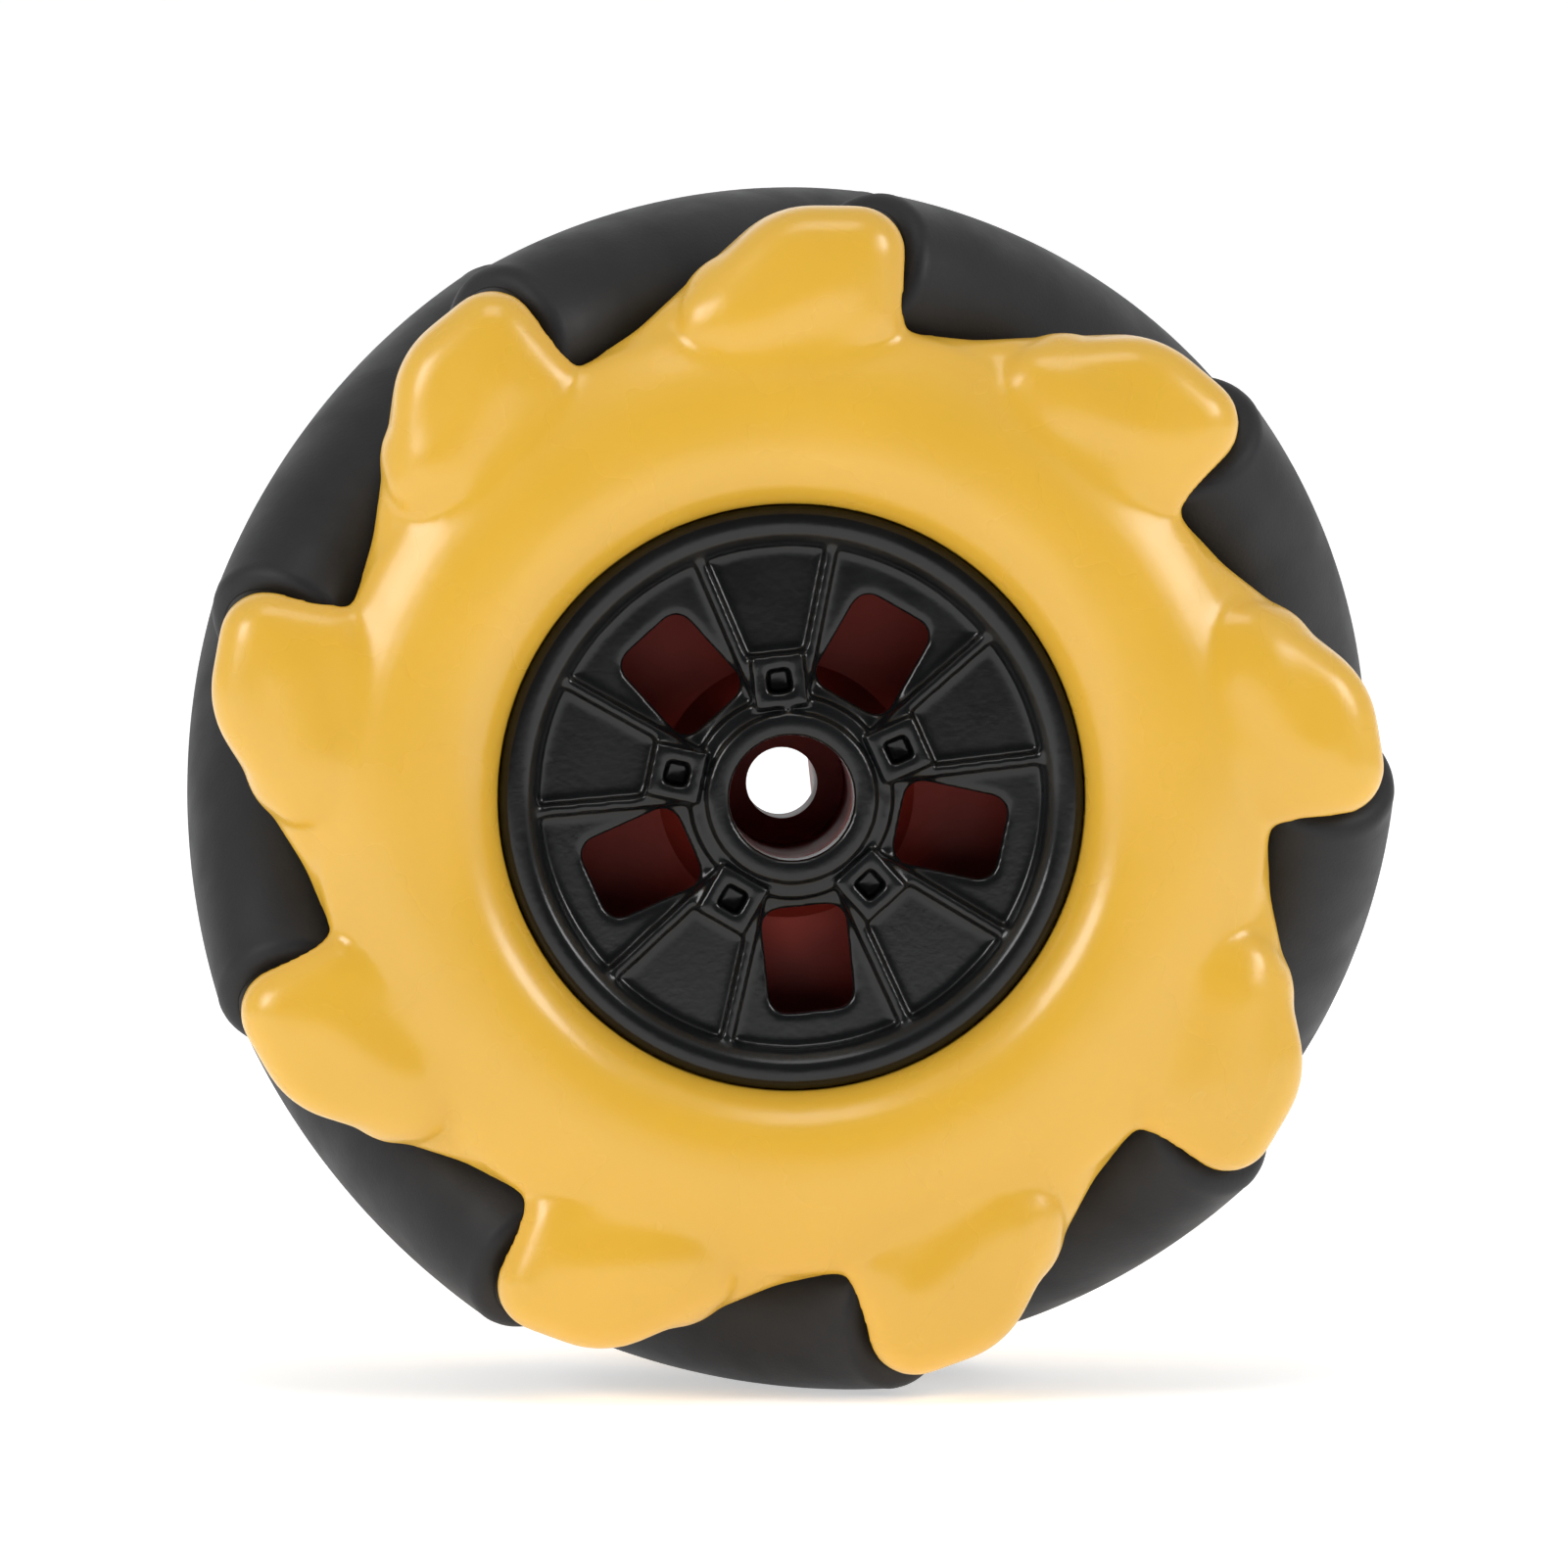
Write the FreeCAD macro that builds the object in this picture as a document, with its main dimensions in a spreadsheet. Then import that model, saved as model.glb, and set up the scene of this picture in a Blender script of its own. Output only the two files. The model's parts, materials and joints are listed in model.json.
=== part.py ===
"""Mecanum wheel, right-hand helix: two claw rings, a spoked hub in two halves, a shaft core and barrel rollers.

Frame: origin at the wheel's centre, +Y along the wheel's axle towards the motor, +Z up, outer face at -Y.
Angles round the wheel are measured clockwise from +Z as seen from the outer face.
"""

import FreeCAD, Part
import os
import re

import Sketcher
from FreeCAD import Placement, Rotation, Vector

X_AXIS, Y_AXIS, Z_AXIS = Vector(1, 0, 0), Vector(0, 1, 0), Vector(0, 0, 1)

# Driving dimensions, in millimetres and degrees. Depths are distances from the wheel's middle plane.
DIMENSIONS = {
    # whole wheel
    "wheel_radius": 30.0,
    "half_width": 15.5,
    "roller_count": 9,
    "roller_phase": 29.0,
    "helix_angle": 45.0,
    # roller, along its own axis
    "roller_radius": 5.6,
    "tread_half_length": 14.0,
    "tread_edge": 0.6,
    "core_radius": 2.4,
    "collar_radius": 3.1,
    "collar_width": 1.0,
    "core_bore_radius": 1.05,
    "pin_radius": 1.0,
    "pin_half_length": 17.0,
    "pin_chamfer": 0.2,
    "washer_radius": 2.6,
    "washer_thickness": 0.4,
    "washer_gap": 0.1,
    # room that a claw ring leaves for a roller and its pin
    "roller_clearance": 0.45,
    "claw_face": 14.6,
    "socket_radius": 1.02,
    "socket_half_length": 17.2,
    # claw ring
    "ring_bore_radius": 14.5,
    "flange_radius": 13.0,
    "flange_half_width": 3.0,
    "lip_round": 3.0,
    "crown_end": 4.9,
    "dome_round": 8.0,
    "dome_inset": 0.9,
    "dome_depth": 1.5,
    "rim_round": 1.5,
    "rim_depth": 2.6,
    "rim_back": 4.0,
    "drum_radius": 18.0,
    "drum_slope": 2.4,
    "drum_slope_back": 0.6,
    "flange_shelf": 0.8,
    "valley_radius": 23.7,
    "tip_radius": 29.3,
    "claw_back": 8.0,
    "web_front": 13.2,
    "web_edge_round": 1.4,
    "claw_front": 14.7,
    "claw_edge_round": 2.1,
    "claw_foot_round": 7.0,
    "claw_shoulder_round": 5.0,
    "claw_tip_round": 2.4,
    "claw_base_round": 2.5,
    "finger_radius": 3.4,
    "finger_depth": 11.7,
    "notch_width": 2.5,
    "notch_depth": 2.1,
    # hub halves
    "hub_radius": 14.45,
    "rim_inner_radius": 12.5,
    "rim_front": 13.1,
    "spoke_count": 5,
    "spoke_phase": -6.0,
    "rim_bevel": 0.4,
    "rim_inner_bevel": 0.7,
    "spoke_front": 12.4,
    "plate_front": 11.5,
    "plate_back": 10.4,
    "disc_radius": 5.0,
    "boss_radius": 4.2,
    "rib_width": 0.55,
    "rib_root": 1.0,
    "rib_rim": 3.5,
    "window_low": 5.5,
    "window_high": 10.7,
    "window_half": 2.1,
    "window_round": 0.9,
    "pad_circle": 5.8,
    "pad_size": 2.6,
    "pad_recess": 1.2,
    "pad_front": 12.9,
    "panel_low": 6.3,
    "panel_high": 11.8,
    "panel_low_half": 1.1,
    "panel_high_half": 3.4,
    "panel_depth": 0.8,
    "collar_wall": 1.2,
    "overlap": 0.3,
    "beyond": 0.1,
    "lug_width": 2.4,
    "lug_end": 1.0,
    "lug_phase": 35.0,
    "screw_circle": 8.6,
    "screw_boss_radius": 1.8,
    "screw_tube_radius": 2.7,
    "screw_well_radius": 2.05,
    "screw_seat": 2.0,
    "boss_end": 0.4,
    "tube_end": 0.2,
    "pilot_radius": 0.97,
    "pilot_depth": 8.6,
    "screw_hole_radius": 1.1,
    "collar_end": 14.0,
    # shaft core
    "sleeve_radius": 4.0,
    "sleeve_fit": 0.05,
    "core_flange_radius": 11.2,
    "core_flange_front": 5.0,
    "core_flange_back": 3.6,
    "core_cone_front": 8.6,
    "core_cone_radius": 6.4,
    "core_chamfer": 0.3,
    "boss_clearance": 0.1,
    "screw_head_well_radius": 3.1,
    "shaft_hole_radius": 1.8,
    "well_bottom": 1.5,
    "socket_end": 5.5,
    "shaft_radius": 2.72,
    "shaft_flat": 1.87,
    # hub screws
    "screw_radius": 0.95,
    "screw_head_radius": 1.85,
    "screw_head_height": 1.3,
    "screw_length": 10.0,
    "cross_width": 0.5,
    "cross_length": 2.0,
    "cross_depth": 0.7,
}

doc = FreeCAD.newDocument("mecanum_wheel")
sheet = doc.addObject("Spreadsheet::Sheet", "dims")
for row, (alias, value) in enumerate(DIMENSIONS.items(), start=1):
    sheet.set(f"A{row}", alias)
    sheet.set(f"B{row}", str(value))
    sheet.setAlias(f"B{row}", alias)
doc.recompute()

kept = []  # the objects that are written out, in order


def dim(expression):
    """An expression in the sheet's aliases, as FreeCAD needs it: each alias with the sheet's name."""
    return re.sub(r"[a-z_]+", lambda word: "dims." + word[0] if word[0] in DIMENSIONS else word[0], expression)


probe = doc.addObject("App::VarSet", "probe")
probe.addProperty("App::PropertyFloat", "Value")


def amount(expression):
    """The value of an expression in the sheet's aliases."""
    probe.setExpression("Value", dim(expression))
    probe.recompute()
    return probe.Value


def polar(radius, angle):
    """The x and z expressions of a point at a radius and a clockwise angle from the top."""
    return f"({radius}) * sin(({angle}) * 1 deg)", f"({radius}) * cos(({angle}) * 1 deg)"


def beside(along, across, angle):
    """The x and z expressions of a point a distance along a clockwise angle, then a distance to its right."""
    turn = f"({angle}) * 1 deg"
    return (f"({along}) * sin({turn}) + ({across}) * cos({turn})",
            f"({along}) * cos({turn}) - ({across}) * sin({turn})")


def keep(thing, label):
    """Gives a finished sub-part its name and lists it for export."""
    thing.Label = label
    kept.append(thing)
    return thing


def new_body(name):
    return doc.addObject("PartDesign::Body", name)


def new_sketch(body, role, offset=None):
    """A sketch on one of the body's origin planes, moved along the plane's normal by an expression."""
    sketch = body.newObject("Sketcher::SketchObject", "Sketch")
    plane = next(p for p in body.Origin.OriginFeatures if p.Role == role)
    sketch.AttachmentSupport = [(plane, "")]
    sketch.MapMode = "FlatFace"
    if offset is not None:
        sketch.setExpression("AttachmentOffset.Base.z", dim(offset))
    return sketch


def pin_point(sketch, geometry, position, x, y):
    """Fixes a sketch point at two expressions."""
    for kind, expression, axis in (("DistanceX", x, -2), ("DistanceY", y, -1)):
        if expression == "0":
            sketch.addConstraint(Sketcher.Constraint("PointOnObject", geometry, position, axis))
            continue
        value = amount(expression)
        index = sketch.addConstraint(Sketcher.Constraint(kind, -1, 1, geometry, position, value))
        sketch.setExpression(f"Constraints[{index}]", dim(expression))


def arc_centre(start, end, radius):
    """The centre of an arc from start to end; a positive radius bulges to the left of that direction."""
    half = (end - start).Length / 2
    left = Vector(start.y - end.y, end.x - start.x, 0).normalize()
    reach = (radius**2 - half**2) ** 0.5
    return (start + end) / 2 - left * reach * (1 if radius > 0 else -1)


def outline(sketch, corners, arcs=None):
    """Draws a closed outline through corners given as (x, y) expressions. arcs maps a side's number to
    its radius, negative where it bulges to the right."""
    arcs = arcs or {}
    points = [Vector(amount(x), amount(y), 0) for x, y in corners]
    first = sketch.GeometryCount
    ends = []
    for i, point in enumerate(points):
        following = points[(i + 1) % len(points)]
        if i in arcs:
            radius = amount(arcs[i])
            centre = arc_centre(point, following, radius)
            low = (following, point) if radius > 0 else (point, following)
            angles = [Vector(1, 0, 0).getAngle(p - centre) * (1 if p.y >= centre.y else -1) for p in low]
            circle = Part.Circle(centre, Z_AXIS, abs(radius))
            sketch.addGeometry(Part.ArcOfCircle(circle, *angles))
            ends.append((2, 1) if radius > 0 else (1, 2))
            index = sketch.addConstraint(Sketcher.Constraint("Radius", first + i, abs(radius)))
            sketch.setExpression(f"Constraints[{index}]", f"abs({dim(arcs[i])})")
        else:
            sketch.addGeometry(Part.LineSegment(point, following))
            ends.append((1, 2))
    for i, (x, y) in enumerate(corners):
        j = (i + 1) % len(corners)
        sketch.addConstraint(Sketcher.Constraint("Coincident", first + i, ends[i][1], first + j, ends[j][0]))
        pin_point(sketch, first + i, ends[i][0], x, y)
    return sketch


def circle(sketch, radius, x="0", y="0"):
    """Draws a circle of a radius at two expressions."""
    centre = Vector(amount(x), amount(y), 0)
    geometry = sketch.addGeometry(Part.Circle(centre, Z_AXIS, amount(radius)))
    index = sketch.addConstraint(Sketcher.Constraint("Radius", geometry, amount(radius)))
    sketch.setExpression(f"Constraints[{index}]", dim(radius))
    if (x, y) == ("0", "0"):
        sketch.addConstraint(Sketcher.Constraint("Coincident", geometry, 3, -1, 1))
    else:
        pin_point(sketch, geometry, 3, x, y)
    return sketch


def rectangle(sketch, x, y, width, height):
    """Draws a rectangle centred on two expressions."""
    low_x, high_x = f"{x} - ({width}) / 2", f"{x} + ({width}) / 2"
    low_y, high_y = f"{y} - ({height}) / 2", f"{y} + ({height}) / 2"
    return outline(sketch, [(low_x, low_y), (high_x, low_y), (high_x, high_y), (low_x, high_y)])


def slot(sketch, low, high, half, rounding, angle):
    """Draws a round-cornered slot that points away from the axle, of a given half width."""
    corners = [(low, f"{rounding} - {half}"), (low, f"{half} - {rounding}"), (f"{low} + {rounding}", half),
               (f"{high} - {rounding}", half), (high, f"{half} - {rounding}"), (high, f"{rounding} - {half}"),
               (f"{high} - {rounding}", f"-{half}"), (f"{low} + {rounding}", f"-{half}")]
    rounds = {side: f"-{rounding}" for side in (1, 3, 5, 7)}
    return outline(sketch, [beside(along, across, angle) for along, across in corners], rounds)


def revolve(body, sketch, axis="V_Axis", kind="Revolution"):
    feature = body.newObject("PartDesign::" + kind, kind)
    feature.Profile = sketch
    feature.ReferenceAxis = (sketch, [axis])
    feature.Angle = 360
    doc.recompute()
    return feature


def extrude(body, sketch, length, kind="Pad", backwards=False):
    """A Pad along the sketch's normal, or a Pocket against it; backwards turns either round."""
    feature = body.newObject("PartDesign::" + kind, kind)
    feature.Profile = sketch
    feature.setExpression("Length", dim(length))
    feature.Reversed = backwards
    before = 0 if body.Shape.isNull() else body.Shape.Volume
    doc.recompute()
    if kind == "Pocket" and body.Shape.Volume > before - 1e-6:
        raise RuntimeError(f"{body.Name}: a pocket cut nothing")
    return feature


def repeat_round(body, features, count):
    """Repeats features round the wheel's axle."""
    pattern = body.newObject("PartDesign::PolarPattern", "PolarPattern")
    pattern.Originals = features
    pattern.Axis = (features[0].Profile[0], ["N_Axis"])
    pattern.Angle = 360
    pattern.setExpression("Occurrences", dim(count))
    body.Tip = pattern
    doc.recompute()
    return pattern


def roller_tilt():
    """Takes a piece modelled along X, about the origin, to a roller's place at the top of the wheel."""
    height = amount("wheel_radius - roller_radius")
    return Placement(Vector(0, 0, height), Rotation(Z_AXIS, amount("helix_angle")))


def place_on_wheel(thing, number):
    """Puts a piece modelled along X, about the origin, on the roller axis with that number."""
    turn = Rotation(Y_AXIS, amount("roller_phase") + number * 360.0 / amount("roller_count"))
    thing.Placement = Placement(Vector(), turn).multiply(roller_tilt())


def turned(thing, angle):
    """Turns a piece clockwise round the axle."""
    thing.Placement = Placement(Vector(), Rotation(Y_AXIS, angle))
    return thing


# ---------------------------------------------------------------- rollers

CROWN = "2 * wheel_radius"  # a 45 degree roller's profile is an arc of twice the wheel's radius


def crown_height(along, extra="0"):
    """The barrel's radius at a distance along the roller, offset outwards by extra."""
    return f"roller_radius + {extra} - 2 * wheel_radius + sqrt((2 * wheel_radius)^2 - ({along})^2)"


def roller_tread(number):
    """Rubber barrel moulded over the core; its surface follows the wheel's outer cylinder."""
    body = new_body("tread")
    edge, collar = "tread_half_length - tread_edge", "tread_half_length - collar_width"
    lip = crown_height(edge) + " - tread_edge"
    half = [(collar, "core_radius"), (collar, "collar_radius"), ("tread_half_length", "collar_radius"),
            ("tread_half_length", lip), (edge, crown_height(edge))]
    mirrored = [(f"-({x})", y) for x, y in reversed(half)]
    sketch = outline(new_sketch(body, "XY_Plane"), half + mirrored, arcs={4: "-" + CROWN})
    revolve(body, sketch, "H_Axis")
    place_on_wheel(body, number)
    return keep(body, f"roller_tread_{number + 1}")


def roller_core(number):
    """Hard plastic spool inside the tread, bored to spin on its pin."""
    body = new_body("core")
    collar = "tread_half_length - collar_width"
    half = [("tread_half_length", "core_bore_radius"), ("tread_half_length", "collar_radius"),
            (collar, "collar_radius"), (collar, "core_radius")]
    mirrored = [(f"-({x})", y) for x, y in reversed(half)]
    revolve(body, outline(new_sketch(body, "XY_Plane"), half + mirrored), "H_Axis")
    place_on_wheel(body, number)
    return keep(body, f"roller_core_{number + 1}")


def roller_pin(number):
    """Steel axle, held at both ends in blind sockets in the claws."""
    body = new_body("pin")
    sketch = circle(new_sketch(body, "YZ_Plane", "-pin_half_length"), "pin_radius")
    pad = extrude(body, sketch, "2 * pin_half_length")
    chamfer = body.newObject("PartDesign::Chamfer", "Chamfer")
    rims = [f"Edge{i}" for i, e in enumerate(pad.Shape.Edges, 1) if isinstance(e.Curve, Part.Circle)]
    chamfer.Base = (pad, rims)
    chamfer.setExpression("Size", dim("pin_chamfer"))
    place_on_wheel(body, number)
    return keep(body, f"roller_pin_{number + 1}")


def tube(inner, outer, start, length, axis=X_AXIS):
    """A Part primitive ring along an axis."""
    parts = []
    for radius in (outer, inner):
        cylinder = doc.addObject("Part::Cylinder", "Cylinder")
        cylinder.setExpression("Radius", dim(radius))
        cylinder.setExpression("Height", dim(length))
        cylinder.Placement = Placement(axis * amount(start), Rotation(Z_AXIS, axis))
        parts.append(cylinder)
    cut = doc.addObject("Part::Cut", "Tube")
    cut.Base, cut.Tool = parts
    return cut


def thrust_washers(number):
    """Two thin washers, one between each end of the roller and its claw."""
    near, far = "tread_half_length + washer_gap", "-tread_half_length - washer_gap - washer_thickness"
    pair = doc.addObject("Part::Compound", "Washers")
    pair.Links = [tube("core_bore_radius", "washer_radius", start, "washer_thickness") for start in (near, far)]
    place_on_wheel(pair, number)
    return keep(pair, f"thrust_washers_{number + 1}")


def roller_room():
    """The space that a turning roller, its washers and its pin take out of the claws."""
    body = new_body("roller_room")
    edge = "claw_face - tread_edge"
    end = crown_height(edge, "roller_clearance")
    half = [("socket_half_length", "0"), ("socket_half_length", "socket_radius"),
            ("claw_face", "socket_radius"), ("claw_face", end + " - tread_edge"), (edge, end)]
    mirrored = [(f"-({x})", y) for x, y in reversed(half)]
    sketch = outline(new_sketch(body, "XY_Plane"), half + mirrored, arcs={4: "-" + CROWN})
    revolve(body, sketch, "H_Axis")
    return body


# ---------------------------------------------------------------- claw rings

def ring_blank():
    """The ring without claws: drum under the rollers, clamping flange, front band and dome."""
    body = new_body("ring_blank")
    profile = [
        ("flange_radius", "0"), ("flange_radius", "-flange_half_width"),
        ("ring_bore_radius", "-flange_half_width"), ("ring_bore_radius", "lip_round - half_width"),
        ("ring_bore_radius + lip_round", "-half_width"), ("ring_bore_radius + crown_end", "-half_width"),
        ("valley_radius - dome_inset", "dome_depth - half_width"), ("valley_radius", "rim_depth - half_width"),
        ("valley_radius", "rim_back - half_width"),
        ("drum_radius + drum_slope", "-claw_back - drum_slope_back"),
        ("drum_radius", "-flange_half_width - flange_shelf"), ("drum_radius", "0"),
    ]
    arcs = {3: "-lip_round", 5: "-dome_round", 6: "-rim_round"}
    revolve(body, outline(new_sketch(body, "XY_Plane"), profile, arcs))
    notch = new_sketch(body, "XZ_Plane", "flange_half_width")
    middle = "(flange_radius + ring_bore_radius) / 2"
    rectangle(notch, "0", middle, "notch_width", "2 * (ring_bore_radius - flange_radius)")
    pocket = extrude(body, notch, "notch_depth", "Pocket")
    repeat_round(body, [pocket], "spoke_count")
    return body


def outline_edges(shape, front, innermost):
    """Names of a plate's front edges whose middle lies outside a radius."""
    names = []
    for i, edge in enumerate(shape.Edges, 1):
        box, middle = edge.BoundBox, edge.CenterOfMass
        level = max(abs(box.YMin + front), abs(box.YMax + front)) < 1e-6
        if level and Vector(middle.x, 0, middle.z).Length > innermost:
            names.append(f"Edge{i}")
    return names


def round_edges(body, feature, names, radius):
    fillet = body.newObject("PartDesign::Fillet", "Fillet")
    fillet.Base = (feature, names)
    fillet.setExpression("Radius", dim(radius))
    doc.recompute()
    return fillet


def claw_plate(corners, front, edge_round, innermost):
    """A plate of a claw's outline between its back and its front. corners are (point, corner rounding or
    None); front edges outside a radius are rounded."""
    body = new_body("claw_plate")
    sketch = outline(new_sketch(body, "XZ_Plane", "claw_back"), [point for point, _ in corners])
    feature = extrude(body, sketch, f"{front} - claw_back")
    thickness = amount(f"{front} - claw_back")
    for (x, z), radius in corners:
        if radius is None:
            continue
        corner = Vector(amount(x), -(amount("claw_back") + thickness / 2), amount(z))
        names = [f"Edge{i}" for i, e in enumerate(feature.Shape.Edges, 1)
                 if abs(e.Length - thickness) < 1e-6 and e.CenterOfMass.distanceToPoint(corner) < 0.01]
        feature = round_edges(body, feature, names, radius)
    names = outline_edges(feature.Shape, amount(front), amount(innermost))
    round_edges(body, feature, names, edge_round)
    return body


def web_and_finger():
    """One saw-tooth claw seen from the front, for a roller centred at the top: a long slope, a rounded tip
    over the pin's socket and a steep face towards the roller. The web runs into the ring in a long curve,
    and the thicker finger stands on it."""
    tooth = [(polar("tip_radius - 0.1", "-30.5"), "claw_shoulder_round"),
             (polar("tip_radius + 0.4", "-18"), "claw_tip_round"),
             (polar("valley_radius - 0.3", "-15.2"), None)]
    web = [(polar("valley_radius - 5", "-20"), None), (polar("valley_radius - 5", "-50"), None),
           (polar("valley_radius", "-56"), None), (polar("valley_radius + 0.5", "-47.5"), "claw_foot_round")]
    finger = [(polar("valley_radius - 3.4", "-22"), "claw_base_round"),
              (polar("valley_radius - 3.6", "-38"), "claw_base_round"),
              (polar("valley_radius + 0.6", "-45.7"), "claw_base_round")]
    return [claw_plate(web + tooth, "web_front", "web_edge_round", "valley_radius - 1.5"),
            claw_plate(finger + tooth, "claw_front", "claw_edge_round", "0")]


def capsule(ends, depth, radius):
    """A rod with round ends between two points, given as (x, z) expressions, at a depth."""
    points = [Vector(amount(x), -amount(depth), amount(z)) for x, z in ends]
    (x0, z0), (x1, z1) = ends
    rod = doc.addObject("Part::Cylinder", "Rod")
    rod.setExpression("Height", dim(f"sqrt(({x1} - {x0})^2 + ({z1} - {z0})^2)"))
    rod.Placement = Placement(points[0], Rotation(Z_AXIS, points[1] - points[0]))
    balls = [doc.addObject("Part::Sphere", "Ball") for _ in ends]
    for ball, point in zip(balls, points):
        ball.Placement.Base = point
    for shape in [rod] + balls:
        shape.setExpression("Radius", dim(radius))
    return [rod] + balls


def claw():
    """The claw with the swelling over its pin's blind socket."""
    ends = [polar("tip_radius - finger_radius - 0.4", "-24.4"), polar("valley_radius", "-34.5")]
    whole = doc.addObject("Part::MultiFuse", "Claw")
    whole.Shapes = web_and_finger() + capsule(ends, "finger_depth", "finger_radius")
    doc.recompute()
    return whole


def copies_round(thing, count, first_turn=0.0):
    """Links to a piece, evenly spaced round the axle."""
    links = []
    for number in range(count):
        link = doc.addObject("App::Link", "Link")
        link.LinkedObject = thing
        link.Placement = Placement(Vector(), Rotation(Y_AXIS, first_turn + number * 360.0 / count))
        links.append(link)
    return links


def claw_ring():
    """One claw ring, with roller number one's claw at the top of its own frame."""
    count = int(amount("roller_count"))
    solid = doc.addObject("Part::MultiFuse", "RingSolid")
    solid.Shapes = [ring_blank()] + copies_round(claw(), count)
    links = copies_round(roller_room(), count)
    for link in links:
        link.Placement = link.Placement.multiply(roller_tilt())
    rooms = doc.addObject("Part::Compound", "Rooms")
    rooms.Links = links
    ring = doc.addObject("Part::Cut", "ClawRing")
    ring.Base, ring.Tool = solid, rooms
    return ring


def claw_rings():
    """The front ring, and the same moulding turned over about a roller's radius as the rear ring."""
    front = claw_ring()
    doc.recompute()
    rear = doc.addObject("App::Link", "RearRing")
    rear.LinkedObject = front
    phase = Placement(Vector(), Rotation(Y_AXIS, amount("roller_phase")))
    rear.Placement = phase.multiply(Placement(Vector(), Rotation(Z_AXIS, 180)))
    front.Placement = phase
    keep(front, "front_claw_ring")
    keep(rear, "rear_claw_ring")


# ---------------------------------------------------------------- hub

def hub_rim(body, side):
    """The hub half's rim; side is - for the front half and + for the rear half."""
    profile = [("hub_radius", f"{side}flange_half_width"), ("hub_radius", f"{side}(rim_front - rim_bevel)"),
               ("hub_radius - rim_bevel", f"{side}rim_front"),
               ("rim_inner_radius + rim_inner_bevel", f"{side}rim_front"),
               ("rim_inner_radius", f"{side}(rim_front - rim_inner_bevel)"),
               ("rim_inner_radius", f"{side}flange_half_width")]
    return outline(new_sketch(body, "XY_Plane"), profile)


def disc(body, radius, front, back):
    """A disc about the axle between two depths on the front side; back lies behind front."""
    return extrude(body, circle(new_sketch(body, "XZ_Plane", back), radius), f"({front}) - ({back})")


def bore(body, radius, front, back):
    """A round hole about the axle between two depths on the front side."""
    return extrude(body, circle(new_sketch(body, "XZ_Plane", front), radius), f"({front}) - ({back})", "Pocket")


def drive_lugs(body, side):
    """Lugs on the rim's back face that drive the claw ring through its flange notches."""
    sketch = new_sketch(body, "XZ_Plane", "flange_half_width" if side == "-" else "-flange_half_width")
    inner, outer, half = "flange_radius + beyond", "hub_radius - beyond", "lug_width / 2"
    corners = [(inner, "-" + half), (outer, "-" + half), (outer, half), (inner, half)]
    outline(sketch, [beside(radius, across, "lug_phase") for radius, across in corners])
    pad = extrude(body, sketch, "flange_half_width - lug_end", backwards=side == "-")
    repeat_round(body, [pad], "spoke_count")


def spoke_plate(body):
    """The plate behind the spokes, with a round-cornered window between each two of them."""
    disc(body, "rim_inner_radius + overlap", "plate_front", "plate_back")
    window = slot(new_sketch(body, "XZ_Plane", "plate_front"), "window_low", "window_high", "window_half",
                  "window_round", "180 / spoke_count")
    return extrude(body, window, "plate_front - plate_back", "Pocket")


def spoke_ribs(body):
    """One V spoke: two thin ribs that spread from the middle to the rim."""
    sketch = new_sketch(body, "XZ_Plane", "plate_front")
    root, rim = "disc_radius - overlap", "rim_inner_radius + overlap"
    half = "rib_width / 2"
    for side in ("-1", "1"):
        outline(sketch, [(f"{side} * (rib_root - {half})", root), (f"{side} * (rib_root + {half})", root),
                         (f"{side} * (rib_rim + {half})", rim), (f"{side} * (rib_rim - {half})", rim)])
    return extrude(body, sketch, "spoke_front - plate_front")


def root_pad(body):
    """A small square frame raised on each spoke's root."""
    frame = new_sketch(body, "XZ_Plane", "plate_front")
    rectangle(frame, "0", "pad_circle", "pad_size", "pad_size")
    rectangle(frame, "0", "pad_circle", "pad_recess", "pad_recess")
    return extrude(body, frame, "pad_front - plate_front")


def front_hub():
    """Outer half of the hub: rim, plate with five V spokes, central boss and screw bosses behind the plate."""
    body = new_body("front_hub")
    revolve(body, hub_rim(body, "-"))
    repeat_round(body, [spoke_plate(body)], "spoke_count")
    repeat_round(body, [spoke_ribs(body)], "spoke_count")
    repeat_round(body, [root_pad(body)], "spoke_count")
    disc(body, "disc_radius", "spoke_front", "plate_front")
    disc(body, "boss_radius", "rim_front", "spoke_front")
    disc(body, "sleeve_radius + collar_wall", "plate_back", "core_cone_front")
    bore(body, "sleeve_radius + sleeve_fit", "plate_back", "core_cone_front - beyond")
    bore(body, "screw_head_well_radius", "rim_front + beyond", "plate_back - beyond")
    boss = circle(new_sketch(body, "XZ_Plane", "boss_end"), "screw_boss_radius", "0", "screw_circle")
    repeat_round(body, [extrude(body, boss, "plate_back - boss_end + overlap")], "spoke_count")
    pilot = circle(new_sketch(body, "XZ_Plane", "boss_end"), "pilot_radius", "0", "screw_circle")
    repeat_round(body, [extrude(body, pilot, "pilot_depth", "Pocket", True)], "spoke_count")
    drive_lugs(body, "-")
    return keep(turned(body, amount("spoke_phase")), "front_hub")


def back_panels(body):
    """Shallow panels between the screw wells on the outside of the back plate."""
    sketch = new_sketch(body, "XZ_Plane", "-spoke_front")
    corners = [("panel_low", "-panel_low_half"), ("panel_high", "-panel_high_half"),
               ("panel_high", "panel_high_half"), ("panel_low", "panel_low_half")]
    outline(sketch, [beside(radius, across, "180 / spoke_count") for radius, across in corners])
    repeat_round(body, [extrude(body, sketch, "panel_depth", "Pocket", True)], "spoke_count")


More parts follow.
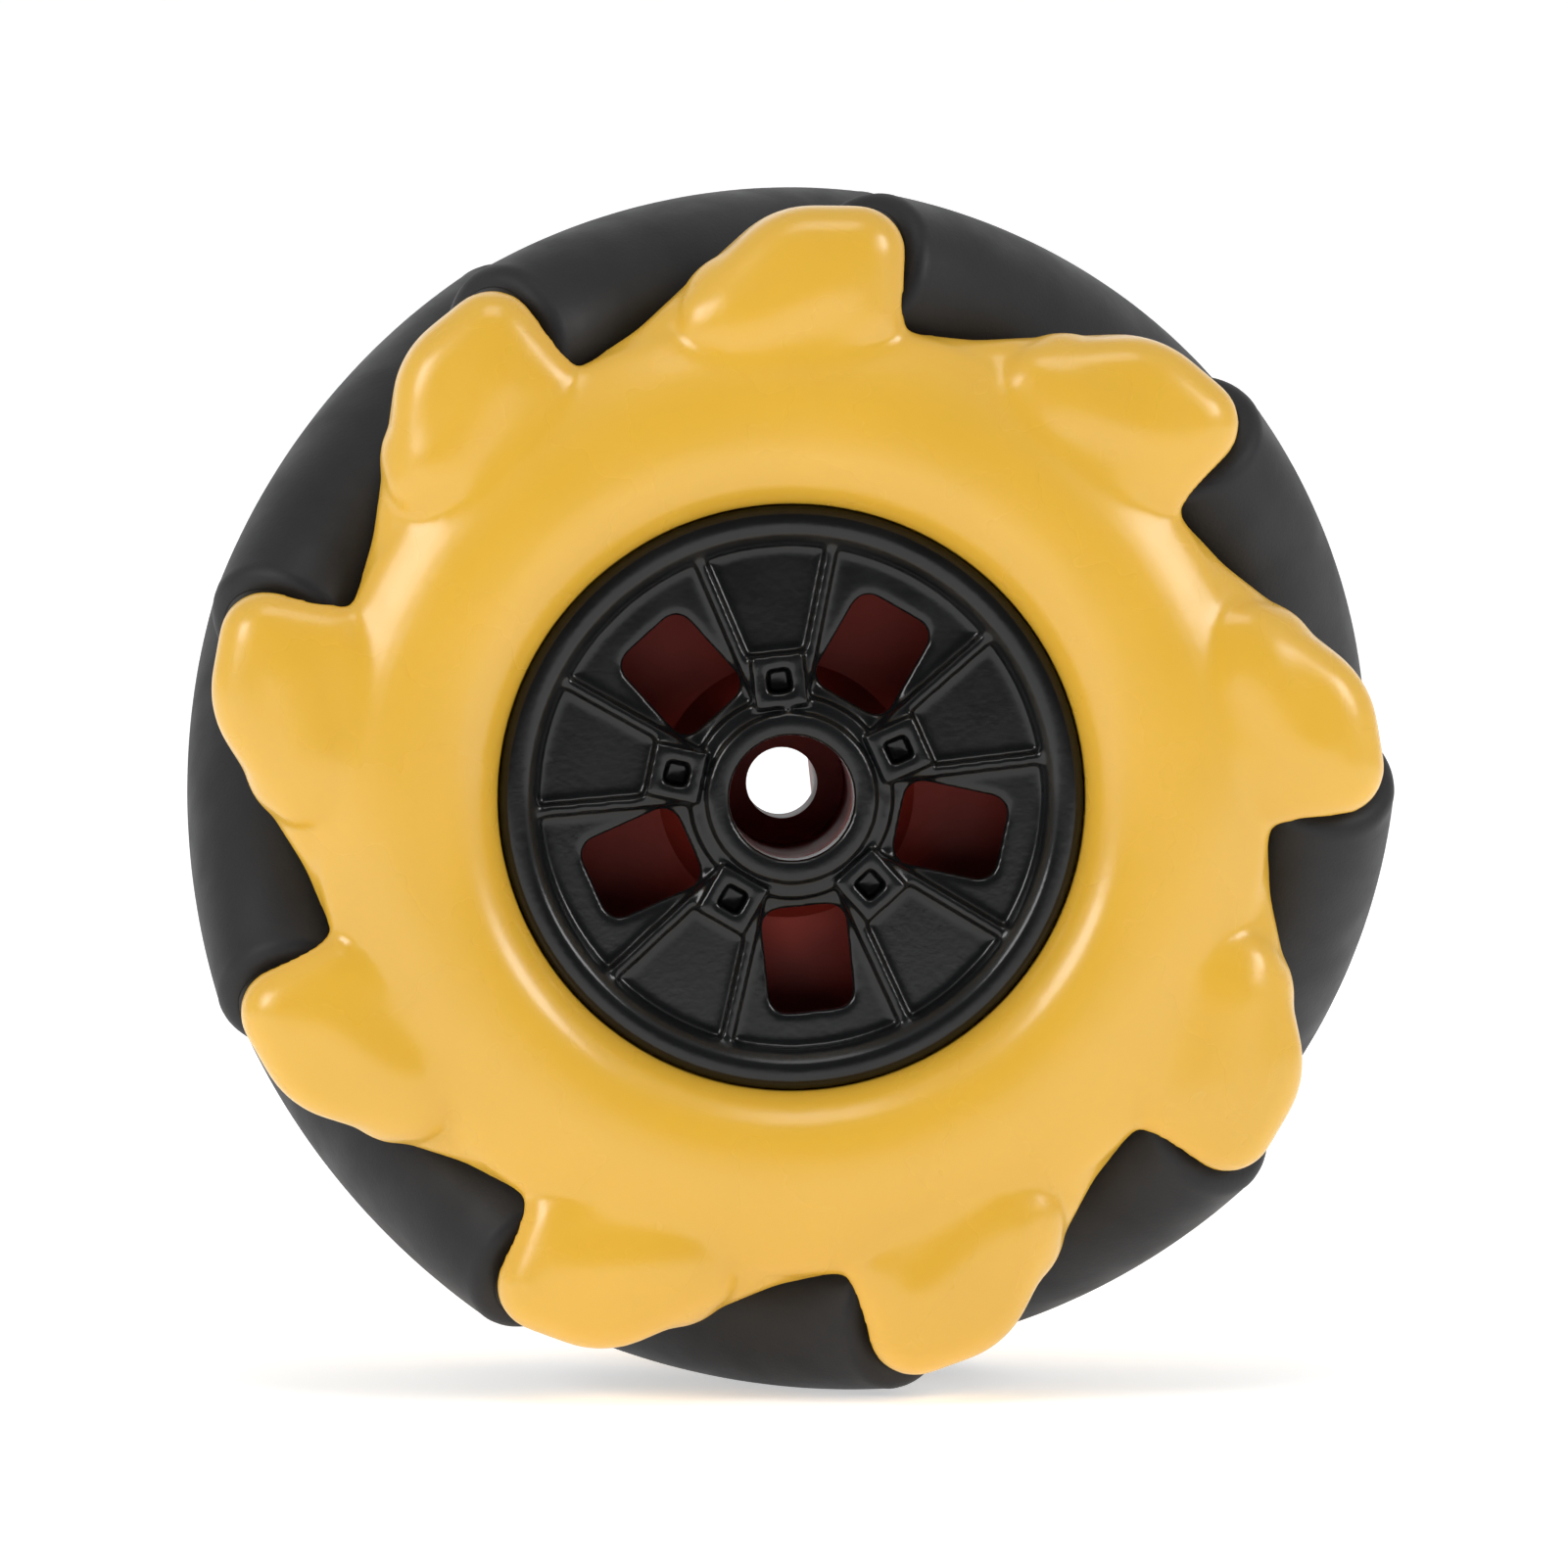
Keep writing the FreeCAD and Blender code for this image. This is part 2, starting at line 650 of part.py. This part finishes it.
def rear_hub():
    """Inner half of the hub: rim, closed back plate, sleeve collar and five deep screw wells."""
    body = new_body("rear_hub")
    revolve(body, hub_rim(body, "+"))
    disc(body, "rim_inner_radius + overlap", "-plate_back", "-spoke_front")
    disc(body, "sleeve_radius + collar_wall", "-core_cone_front", "-collar_end")
    bore(body, "sleeve_radius + sleeve_fit", "beyond - core_cone_front", "-collar_end - beyond")
    well_tube = circle(new_sketch(body, "XZ_Plane", "-spoke_front"), "screw_tube_radius", "0", "screw_circle")
    repeat_round(body, [extrude(body, well_tube, "spoke_front + tube_end")], "spoke_count")
    for start, radius, deep in (("spoke_front", "screw_well_radius", "spoke_front - screw_seat"),
                                ("screw_seat", "screw_hole_radius", "screw_seat + tube_end + beyond")):
        hole = new_sketch(body, "XZ_Plane", f"-{start} - beyond")
        circle(hole, radius, "0", "screw_circle")
        repeat_round(body, [extrude(body, hole, f"{deep} + beyond", "Pocket", True)], "spoke_count")
    back_panels(body)
    drive_lugs(body, "+")
    return keep(turned(body, amount("spoke_phase")), "rear_hub")


def shaft_core():
    """Sleeve with the motor shaft's double-D socket, a retaining-screw hole and a driving flange."""
    body = new_body("shaft_core")
    profile = [("shaft_hole_radius", "-plate_back"), ("sleeve_radius", "-plate_back"),
               ("sleeve_radius", "-core_cone_front"), ("core_cone_radius", "-core_flange_front"),
               ("core_flange_radius", "-core_flange_front"), ("core_flange_radius", "-core_flange_back"),
               ("sleeve_radius", "-core_flange_back"), ("sleeve_radius", "half_width - core_chamfer"),
               ("sleeve_radius - core_chamfer", "half_width"), ("shaft_hole_radius", "half_width")]
    revolve(body, outline(new_sketch(body, "XY_Plane"), profile))
    bore(body, "screw_head_well_radius", "plate_back", "-well_bottom")
    socket = new_sketch(body, "XZ_Plane", "-half_width")
    half = "sqrt(shaft_radius^2 - shaft_flat^2)"
    corners = [("-shaft_flat", "-" + half), ("shaft_flat", "-" + half),
               ("shaft_flat", half), ("-shaft_flat", half)]
    outline(socket, corners, arcs={0: "-shaft_radius", 2: "-shaft_radius"})
    extrude(body, socket, "half_width - socket_end", "Pocket", True)
    hole = circle(new_sketch(body, "XZ_Plane", "core_flange_front"), "screw_boss_radius + boss_clearance",
                  "0", "screw_circle")
    through = extrude(body, hole, "core_flange_front - core_flange_back", "Pocket")
    repeat_round(body, [through], "spoke_count")
    return keep(turned(body, amount("spoke_phase")), "shaft_core")


def hub_screw():
    """Self-tapping screw from the rear: pan head with a cross recess, and a plain shank for its thread."""
    body = new_body("hub_screw")
    seat = "-screw_seat"
    head = circle(new_sketch(body, "XZ_Plane", seat), "screw_head_radius", "0", "screw_circle")
    pad = extrude(body, head, "screw_head_height", backwards=True)
    fillet = body.newObject("PartDesign::Fillet", "Fillet")
    top = amount("screw_seat + screw_head_height")
    fillet.Base = (pad, [f"Edge{i}" for i, e in enumerate(pad.Shape.Edges, 1) if e.BoundBox.YMin > top - 1e-6])
    fillet.setExpression("Radius", dim("screw_head_height / 2"))
    doc.recompute()
    shank = circle(new_sketch(body, "XZ_Plane", seat), "screw_radius", "0", "screw_circle")
    extrude(body, shank, "screw_length")
    for width, height in (("cross_width", "cross_length"), ("cross_length", "cross_width")):
        slot = new_sketch(body, "XZ_Plane", "-screw_seat - screw_head_height")
        rectangle(slot, "0", "screw_circle", width, height)
        extrude(body, slot, "cross_depth", "Pocket", True)
    return body


def hub_screws():
    """The five screws that clamp the two hub halves on the claw rings' flanges."""
    group = doc.addObject("Part::Compound", "Screws")
    group.Links = copies_round(hub_screw(), int(amount("spoke_count")))
    return keep(turned(group, amount("spoke_phase")), "hub_screws")


# ---------------------------------------------------------------- the wheel

def build():
    claw_rings()
    front_hub()
    rear_hub()
    shaft_core()
    hub_screws()
    for number in range(int(amount("roller_count"))):
        roller_tread(number)
        roller_core(number)
        roller_pin(number)
        thrust_washers(number)
    doc.recompute()


def check():
    """Stops before anything is written if an object failed or a sub-part isn't a valid solid."""
    for thing in doc.Objects:
        if {"Invalid", "Error"} & set(thing.State):
            raise RuntimeError(f"{thing.Name} ({thing.Label}) failed: {thing.State}")
    for thing in kept:
        shape = Part.getShape(thing)
        if shape.isNull() or not shape.isValid() or not shape.Solids:
            raise RuntimeError(f"{thing.Label} isn't a valid solid")


def write():
    os.makedirs("parts", exist_ok=True)
    for old in os.listdir("parts"):
        os.remove(os.path.join("parts", old))
    for thing in kept:
        shape = Part.getShape(thing)
        shape.exportStep(os.path.join("parts", thing.Label + ".step"))
        print(f"{thing.Label}: {len(shape.Solids)} solid, {shape.Volume:.1f} mm3")


build()
check()
write()
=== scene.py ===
"""Looks of a mecanum wheel: yellow claw rings, black rubber rollers, a black spoked hub and a dark red core.

Everything is in metres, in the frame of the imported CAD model. The axle is along Y, the outer face at -Y.
"""

import json
import math

import bmesh
import bpy
import numpy as np
from mathutils import Matrix, Vector


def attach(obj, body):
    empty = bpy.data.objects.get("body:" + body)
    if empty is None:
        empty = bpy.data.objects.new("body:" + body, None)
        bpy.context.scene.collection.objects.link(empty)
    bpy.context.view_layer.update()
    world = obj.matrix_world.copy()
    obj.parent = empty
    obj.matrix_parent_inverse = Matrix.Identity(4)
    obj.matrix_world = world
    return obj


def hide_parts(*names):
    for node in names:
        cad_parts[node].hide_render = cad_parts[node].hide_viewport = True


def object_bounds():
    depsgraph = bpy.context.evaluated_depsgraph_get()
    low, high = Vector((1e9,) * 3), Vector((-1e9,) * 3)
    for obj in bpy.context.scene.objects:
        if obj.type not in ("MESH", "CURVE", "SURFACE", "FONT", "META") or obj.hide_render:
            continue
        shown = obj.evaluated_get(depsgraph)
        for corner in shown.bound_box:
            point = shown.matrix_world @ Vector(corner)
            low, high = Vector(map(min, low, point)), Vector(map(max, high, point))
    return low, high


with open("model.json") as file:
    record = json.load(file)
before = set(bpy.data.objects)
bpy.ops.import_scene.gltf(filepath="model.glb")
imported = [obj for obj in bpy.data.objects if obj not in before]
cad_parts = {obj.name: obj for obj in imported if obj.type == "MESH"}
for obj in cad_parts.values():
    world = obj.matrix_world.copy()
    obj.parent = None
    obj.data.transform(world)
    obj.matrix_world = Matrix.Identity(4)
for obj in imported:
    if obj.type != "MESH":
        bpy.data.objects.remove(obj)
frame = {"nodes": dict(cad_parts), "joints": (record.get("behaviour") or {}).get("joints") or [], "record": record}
CAD_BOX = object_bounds()

MM = 0.001
LOW, HIGH = CAD_BOX
CENTRE = (LOW + HIGH) / 2
DIAMETER = HIGH.z - LOW.z
WHEEL = "wheel"

VIEW_AZIMUTH = -2.0  # degrees
VIEW_ELEVATION = 3.0  # degrees
VIEW_DISTANCE = 10 * DIAMETER
FRAME_FILL = 0.76  # the wheel's diameter as a share of the picture's height
SENSOR = 36.0  # millimetres

ROOM_GLOW = 0.06  # brightness of the room behind the camera
SURROUND_GLOW = 0.55  # brightness of the white surroundings
ROOM_EDGE = -0.95  # Y of a direction where the room starts to give way to the surroundings
SURROUND_EDGE = -0.2  # and where it has done so
PAPER = (0.90, 0.90, 0.90)
PAPER_GLOW = 0.5
WHITE = (1.0, 1.0, 1.0, 1.0)

# Each soft box: name, azimuth and elevation in degrees, distance and size in wheel diameters, power in watts.
SOFT_BOXES = [
    ("key", -56, 22, 8, 3.2, 0.80),
    ("right", 58, 26, 8, 3.0, 0.70),
    ("top", -4, 66, 8, 3.6, 0.32),
]

RING_VOXEL = 0.24 * MM
RING_SOFTENING = 3  # smoothing rounds that take the voxels' steps off
SWELLING_ROUNDS = 26  # smoothing rounds in depth that swell the claws over their pins
SWELLING_START = 8.5 * MM  # from the wheel's middle plane
SWELLING_FULL = 11.5 * MM
HUB_VOXEL = 0.13 * MM
HUB_SOFTENING = 8

CROWN_RADIUS = DIAMETER  # a barrel's profile is an arc of this radius
SHOULDER = 0.95 * MM
SHOULDER_STEP = 15  # degrees
MOUTH_DEPTH = 1.2 * MM  # over this depth a tread's bore narrows from its mouth
MOUTH_TAPER = 0.98  # the bore's radius past its mouth, as a share of the mouth's
END_FACE = 0.02 * MM  # points this near a tread's end belong to its end face
ROLLER_SEGMENTS = 96
CROWN_STEPS = 40


# ---------------------------------------------------------------- materials

def new_material(name, colour, roughness, **sockets):
    """A principled material with its node tree, its shader and the other sockets' values set."""
    material = bpy.data.materials.new(name)
    material.use_nodes = True
    tree = material.node_tree
    shader = next(n for n in tree.nodes if n.type == "BSDF_PRINCIPLED")
    shader.inputs["Base Color"].default_value = (*colour, 1.0)
    shader.inputs["Roughness"].default_value = roughness
    for socket, value in sockets.items():
        shader.inputs[socket.replace("_", " ")].default_value = value
    return material, tree, shader


def object_noise(tree, scale, detail=3.0, stretch=(1.0, 1.0, 1.0)):
    """A noise texture in the object's own coordinates; scale is in features per metre."""
    coordinates = tree.nodes.new("ShaderNodeTexCoord")
    mapping = tree.nodes.new("ShaderNodeMapping")
    mapping.inputs["Scale"].default_value = stretch
    noise = tree.nodes.new("ShaderNodeTexNoise")
    noise.inputs["Scale"].default_value = scale
    noise.inputs["Detail"].default_value = detail
    tree.links.new(coordinates.outputs["Object"], mapping.inputs["Vector"])
    tree.links.new(mapping.outputs["Vector"], noise.inputs["Vector"])
    return noise.outputs["Fac"]


def ramp(tree, factor, stops):
    """A colour ramp over a factor; stops are (position, colour)."""
    node = tree.nodes.new("ShaderNodeValToRGB")
    elements = node.color_ramp.elements
    for element, (position, colour) in zip(elements, stops):
        element.position = position
        element.color = (*colour, 1.0)
    tree.links.new(factor, node.inputs["Fac"])
    return node.outputs["Color"]


def vary_colour(tree, shader, colour, scale, spread):
    """Lets the base colour drift lighter and darker over the surface."""
    dark = [c * (1 - spread) for c in colour]
    light = [min(1.0, c * (1 + spread)) for c in colour]
    colours = ramp(tree, object_noise(tree, scale), [(0.3, dark), (0.7, light)])
    tree.links.new(colours, shader.inputs["Base Color"])


def vary_roughness(tree, shader, low, high, scale):
    """Lets the roughness drift between two values."""
    values = ramp(tree, object_noise(tree, scale), [(0.3, (low,) * 3), (0.7, (high,) * 3)])
    tree.links.new(values, shader.inputs["Roughness"])


def add_bump(tree, shader, scale, height, strength, detail=4.0, stretch=(1.0, 1.0, 1.0)):
    """Fine relief: features per metre and their height in metres."""
    bump = tree.nodes.new("ShaderNodeBump")
    bump.inputs["Strength"].default_value = strength
    bump.inputs["Distance"].default_value = height
    tree.links.new(object_noise(tree, scale, detail, stretch), bump.inputs["Height"])
    tree.links.new(bump.outputs["Normal"], shader.inputs["Normal"])


def yellow_plastic():
    """Glossy moulded plastic that lets a little light in."""
    colour = (0.76, 0.44, 0.043)
    material, tree, shader = new_material("yellow_plastic", colour, 0.26, Subsurface_Weight=0.12,
                                          Subsurface_Scale=0.8 * MM, Specular_IOR_Level=0.7)
    shader.inputs["Subsurface Radius"].default_value = (1.0, 0.45, 0.12)
    vary_colour(tree, shader, colour, 90, 0.035)
    vary_roughness(tree, shader, 0.23, 0.31, 160)
    add_bump(tree, shader, 1400, 0.03 * MM, 0.25)
    return material


def black_rubber():
    """Dull rubber with a fine grain."""
    colour = (0.015, 0.015, 0.0165)
    material, tree, shader = new_material("black_rubber", colour, 0.5, Specular_IOR_Level=0.3)
    vary_colour(tree, shader, colour, 220, 0.14)
    vary_roughness(tree, shader, 0.46, 0.60, 300)
    add_bump(tree, shader, 5200, 0.03 * MM, 0.4)
    return material


def black_plastic():
    """Smooth hard plastic of the hub."""
    colour = (0.0065, 0.0070, 0.0075)
    material, tree, shader = new_material("black_plastic", colour, 0.2, Specular_IOR_Level=0.4)
    vary_colour(tree, shader, colour, 260, 0.2)
    vary_roughness(tree, shader, 0.16, 0.24, 420)
    add_bump(tree, shader, 2600, 0.02 * MM, 0.3)
    return material


def roller_plastic():
    """Hard plastic of the spools inside the rollers."""
    colour = (0.014, 0.014, 0.015)
    material, tree, shader = new_material("roller_plastic", colour, 0.45)
    vary_colour(tree, shader, colour, 300, 0.2)
    add_bump(tree, shader, 3600, 0.02 * MM, 0.3)
    return material


def red_plastic():
    """Dark red plastic of the shaft core."""
    colour = (0.36, 0.038, 0.024)
    material, tree, shader = new_material("red_plastic", colour, 0.42, Specular_IOR_Level=0.2)
    vary_colour(tree, shader, colour, 240, 0.10)
    vary_roughness(tree, shader, 0.36, 0.48, 340)
    add_bump(tree, shader, 2800, 0.02 * MM, 0.3)
    return material


def washer_plastic():
    """Plastic of the thrust washers."""
    colour = (0.012, 0.012, 0.012)
    material, tree, shader = new_material("washer_plastic", colour, 0.5)
    vary_colour(tree, shader, colour, 800, 0.15)
    add_bump(tree, shader, 4200, 0.01 * MM, 0.3)
    return material


def steel():
    """Bright steel with a fine grain that is closer along the axle."""
    colour = (0.56, 0.56, 0.57)
    material, tree, shader = new_material("steel", colour, 0.3, Metallic=1.0)
    vary_roughness(tree, shader, 0.22, 0.42, 2600)
    add_bump(tree, shader, 3000, 0.005 * MM, 0.4, stretch=(1.0, 6.0, 1.0))
    return material


MATERIALS = {
    "yellow_plastic": yellow_plastic(),
    "black_plastic": black_plastic(),
    "red_plastic": red_plastic(),
    "rubber": black_rubber(),
    "roller_plastic": roller_plastic(),
    "washer_plastic": washer_plastic(),
    "steel": steel(),
}
SLOT_OF = {entry["node"]: entry["material_slot"] for entry in frame["record"]["subparts"]}


def finish_piece(piece, slot_name, body, stands_for):
    """Gives a new piece its material and slot, the body it rides on and the CAD node it stands for."""
    piece.data.materials.clear()
    piece.data.materials.append(MATERIALS[slot_name])
    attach(piece, body)
    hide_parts(stands_for)


def paint_cad_nodes():
    """Every CAD node gets the material of its slot."""
    for name, node in frame["nodes"].items():
        node.data.materials.clear()
        node.data.materials.append(MATERIALS[SLOT_OF[name]])


# ---------------------------------------------------------------- mouldings

def add_object(name, data):
    """Puts a mesh, a light or a camera into the scene."""
    placed = bpy.data.objects.new(name, data)
    bpy.context.scene.collection.objects.link(placed)
    return placed


def copy_of(node_name, piece_name):
    """A free copy of a CAD node's mesh."""
    return add_object(piece_name, frame["nodes"][node_name].data.copy())


def apply_modifiers(piece):
    """Turns a piece's modifiers into plain mesh."""
    graph = bpy.context.evaluated_depsgraph_get()
    mesh = bpy.data.meshes.new_from_object(piece.evaluated_get(graph))
    piece.modifiers.clear()
    old, piece.data = piece.data, mesh
    bpy.data.meshes.remove(old)


def remesh(piece, voxel):
    """Rebuilds a piece as an even skin of small quads."""
    modifier = piece.modifiers.new("Remesh", "REMESH")
    modifier.mode = "VOXEL"
    modifier.voxel_size = voxel
    apply_modifiers(piece)


def coordinates(mesh):
    """A mesh's vertices as rows of x, y and z."""
    flat = np.empty(len(mesh.vertices) * 3)
    mesh.vertices.foreach_get("co", flat)
    return flat.reshape(-1, 3)


def smooth(piece, rounds, weights=None, axes=(0, 1, 2)):
    """Moves each vertex towards the middle of its neighbours, along the given axes and by its weight."""
    mesh = piece.data
    points = coordinates(mesh)
    edges = np.empty(len(mesh.edges) * 2, dtype=np.int64)
    mesh.edges.foreach_get("vertices", edges)
    first, second = edges.reshape(-1, 2).T
    count = np.bincount(np.concatenate([first, second]), minlength=len(points))
    pull = 0.5 if weights is None else 0.5 * weights
    for _ in range(rounds):
        for axis in axes:
            column = points[:, axis]
            total = np.bincount(first, column[second], len(points))
            total = total + np.bincount(second, column[first], len(points))
            column += pull * (total / np.maximum(count, 1) - column)
    mesh.vertices.foreach_set("co", points.ravel())
    mesh.shade_smooth()
    mesh.update()


def fade(values, start, end):
    """0 at start, 1 at end and smooth between."""
    t = np.clip((values - start) / (end - start), 0.0, 1.0)
    return t * t * (3 - 2 * t)


def claw_ring(node_name, side):
    """One moulded claw ring: its outer face is smoothed into soft swellings, its inside only a little."""
    piece = copy_of(node_name, node_name.replace("claw_ring", "moulding"))
    remesh(piece, RING_VOXEL)
    depth = coordinates(piece.data)[:, 1] * side
    front = fade(depth, SWELLING_START, SWELLING_FULL)
    smooth(piece, RING_SOFTENING)
    smooth(piece, SWELLING_ROUNDS, front, axes=(1,))
    smooth(piece, RING_SOFTENING, front)
    finish_piece(piece, "yellow_plastic", WHEEL, node_name)


def hub_half(node_name):
    """One hub half with its moulded edges rounded."""
    piece = copy_of(node_name, node_name + "_moulding")
    remesh(piece, HUB_VOXEL)
    smooth(piece, HUB_SOFTENING)
    finish_piece(piece, "black_plastic", WHEEL, node_name)


# ---------------------------------------------------------------- rollers

def tread_sizes(node_name, middle, axis):
    """Half length, largest radius and bore radius of a tread, measured on its CAD node."""
    points = coordinates(frame["nodes"][node_name].data) - np.array(middle)
    along = points @ np.array(axis)
    radius = np.linalg.norm(points - along[:, None] * np.array(axis), axis=1)
    half = along.max()
    return half, radius.max(), radius[along > half - END_FACE].min()


def barrel_profile(half, widest, bore):
    """A barrel's closed profile as (place along its axis, radius), with round shoulders and a bore."""
    crown = []
    for step in range(CROWN_STEPS + 1):
        s = -(half - SHOULDER) + 2 * (half - SHOULDER) * step / CROWN_STEPS
        crown.append((s, widest - CROWN_RADIUS + math.sqrt(CROWN_RADIUS**2 - s**2)))
    rim = crown[0][1]
    side = []
    for degrees in range(SHOULDER_STEP, 91, SHOULDER_STEP):
        a = math.radians(degrees)
        side.append((half - SHOULDER + SHOULDER * math.sin(a), rim - SHOULDER * (1 - math.cos(a))))
    side += [(half, (rim - SHOULDER + bore) / 2), (half, bore), (half - MOUTH_DEPTH, bore * MOUTH_TAPER)]
    return [(-s, r) for s, r in reversed(side)] + crown + side


def lathe(name, profile):
    """A mesh that turns a closed profile round the X axis."""
    mesh = bmesh.new()
    rings = []
    for s, r in profile:
        ring = []
        for k in range(ROLLER_SEGMENTS):
            turn = 2 * math.pi * k / ROLLER_SEGMENTS
            ring.append(mesh.verts.new((s, r * math.cos(turn), r * math.sin(turn))))
        rings.append(ring)
    for lower, upper in zip(rings, rings[1:] + rings[:1]):
        for k in range(ROLLER_SEGMENTS):
            j = (k + 1) % ROLLER_SEGMENTS
            mesh.faces.new((lower[k], lower[j], upper[j], upper[k]))
    bmesh.ops.recalc_face_normals(mesh, faces=mesh.faces)
    data = bpy.data.meshes.new(name)
    mesh.to_mesh(data)
    mesh.free()
    data.shade_smooth()
    return data


def roller_tread(number, joint):
    """A lathed rubber barrel with soft shoulders, on its roller's axis."""
    node_name = f"roller_tread_{number}"
    middle, axis = Vector(joint["pos_m"]), Vector(joint["axis"]).normalized()
    data = lathe(f"rubber_{number}", barrel_profile(*tread_sizes(node_name, middle, axis)))
    piece = add_object(f"rubber_{number}", data)
    turn = Vector((1, 0, 0)).rotation_difference(axis).to_matrix().to_4x4()
    data.transform(Matrix.Translation(middle) @ turn)
    finish_piece(piece, "rubber", joint["child"], node_name)


# ---------------------------------------------------------------- stage

def backdrop():
    """A white floor that curves up into a wall behind the wheel."""
    width, front, back = 30 * DIAMETER, 7 * DIAMETER, 10 * DIAMETER
    bend, top = 4 * DIAMETER, 18 * DIAMETER
    bend_steps = 12
    floor = LOW.z
    line = [(-front, floor), (back, floor)]
    for k in range(1, bend_steps + 1):
        a = math.radians(90 * k / bend_steps)
        line.append((back + bend * math.sin(a), floor + bend * (1 - math.cos(a))))
    line.append((back + bend, floor + top))
    points = [(x, y, z) for y, z in line for x in (-width / 2, width / 2)]
    faces = [(2 * k, 2 * k + 1, 2 * k + 3, 2 * k + 2) for k in range(len(line) - 1)]
    data = bpy.data.meshes.new("backdrop")
    data.from_pydata(points, [], faces)
    data.shade_smooth()
    piece = add_object("backdrop", data)
    material, tree, shader = new_material("backdrop_paper", PAPER, 0.8)
    vary_colour(tree, shader, PAPER, 3, 0.01)
    shader.inputs["Emission Color"].default_value = WHITE
    shader.inputs["Emission Strength"].default_value = PAPER_GLOW
    data.materials.append(material)


def direction(azimuth, elevation):
    """The unit vector from the wheel towards a viewer at an azimuth and elevation."""
    a, e = math.radians(azimuth), math.radians(elevation)
    return Vector((math.sin(a) * math.cos(e), -math.cos(a) * math.cos(e), math.sin(e)))


def soft_light(name, azimuth, elevation, distance, size, power):
    """A square soft box that faces the wheel; distance and size are in wheel diameters."""
    data = bpy.data.lights.new(name, "AREA")
    data.shape = "SQUARE"
    data.size = size * DIAMETER
    data.energy = power
    lamp = add_object(name, data)
    back = direction(azimuth, elevation)
    lamp.location = CENTRE + back * distance * DIAMETER
    lamp.rotation_mode = "QUATERNION"
    lamp.rotation_quaternion = back.to_track_quat("Z", "Y")


def studio_world():
    """White surroundings at the sides, above and behind, and a dark room behind the camera."""
    world = bpy.data.worlds.new("studio")
    world.use_nodes = True
    tree = world.node_tree
    background = next(n for n in tree.nodes if n.type == "BACKGROUND")
    coordinates = tree.nodes.new("ShaderNodeTexCoord")
    split = tree.nodes.new("ShaderNodeSeparateXYZ")
    depth = tree.nodes.new("ShaderNodeMapRange")
    depth.interpolation_type = "SMOOTHSTEP"
    depth.inputs["From Min"].default_value = ROOM_EDGE
    depth.inputs["From Max"].default_value = SURROUND_EDGE
    depth.inputs["To Min"].default_value = ROOM_GLOW
    depth.inputs["To Max"].default_value = SURROUND_GLOW
    tree.links.new(coordinates.outputs["Generated"], split.inputs["Vector"])
    tree.links.new(split.outputs["Y"], depth.inputs["Value"])
    tree.links.new(depth.outputs["Result"], background.inputs["Strength"])
    background.inputs["Color"].default_value = WHITE
    bpy.context.scene.world = world
    bpy.context.scene.view_settings.view_transform = "Standard"


def camera():
    """The camera looks at the wheel's middle from the chosen azimuth and elevation."""
    data = bpy.data.cameras.new("camera")
    data.sensor_width = SENSOR
    data.lens = SENSOR * VIEW_DISTANCE * FRAME_FILL / DIAMETER
    data.clip_start, data.clip_end = 0.01, 100.0
    viewer = add_object("camera", data)
    back = direction(VIEW_AZIMUTH, VIEW_ELEVATION)
    viewer.location = CENTRE + back * VIEW_DISTANCE
    viewer.rotation_mode = "QUATERNION"
    viewer.rotation_quaternion = (-back).to_track_quat("-Z", "Y")
    bpy.context.scene.camera = viewer


paint_cad_nodes()
claw_ring("front_claw_ring", -1)
claw_ring("rear_claw_ring", 1)
hub_half("front_hub")
hub_half("rear_hub")
for number, joint in enumerate(frame["joints"], start=1):
    roller_tread(number, joint)
backdrop()
for soft_box in SOFT_BOXES:
    soft_light(*soft_box)
studio_world()
camera()
